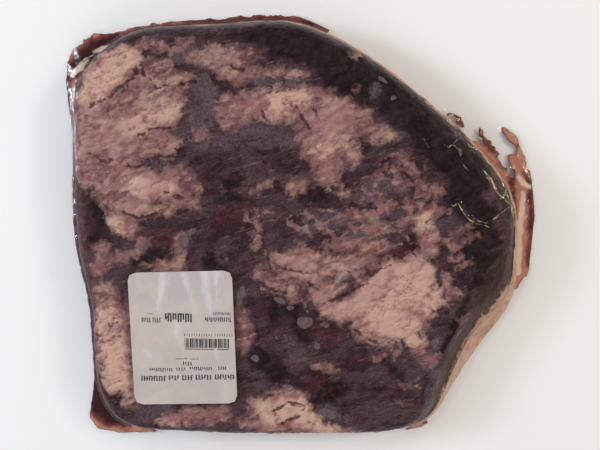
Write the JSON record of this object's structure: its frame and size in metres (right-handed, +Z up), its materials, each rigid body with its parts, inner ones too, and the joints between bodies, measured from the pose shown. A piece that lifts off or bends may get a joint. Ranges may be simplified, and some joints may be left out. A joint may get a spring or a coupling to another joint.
{
  "type": "raw beef brisket in a vacuum bag",
  "caption": "Flat slab of raw beef brisket, dark lean side up over its fat cap, sealed in a clear vacuum bag with a narrow welded border and a white price label.",
  "frame": {"origin": "middle of the pack's footprint, on the surface that it rests on", "axes": "+Z up, out of the lean side of the meat; +X along the pack's longer side, towards its narrow end; +Y across it, away from the label's corner"},
  "size_m": [0.2833, 0.2601, 0.0271],
  "materials": {
    "sealed_bag": "clear glossy film drawn tight over dark red raw beef and pinkish cream fat",
    "price_label": "white satin paper, slightly creased, with grey print"
  },
  "bodies": {
    "root": {"sealed_bag": "sealed_bag", "price_label": "price_label"}
  },
  "joints": []
}
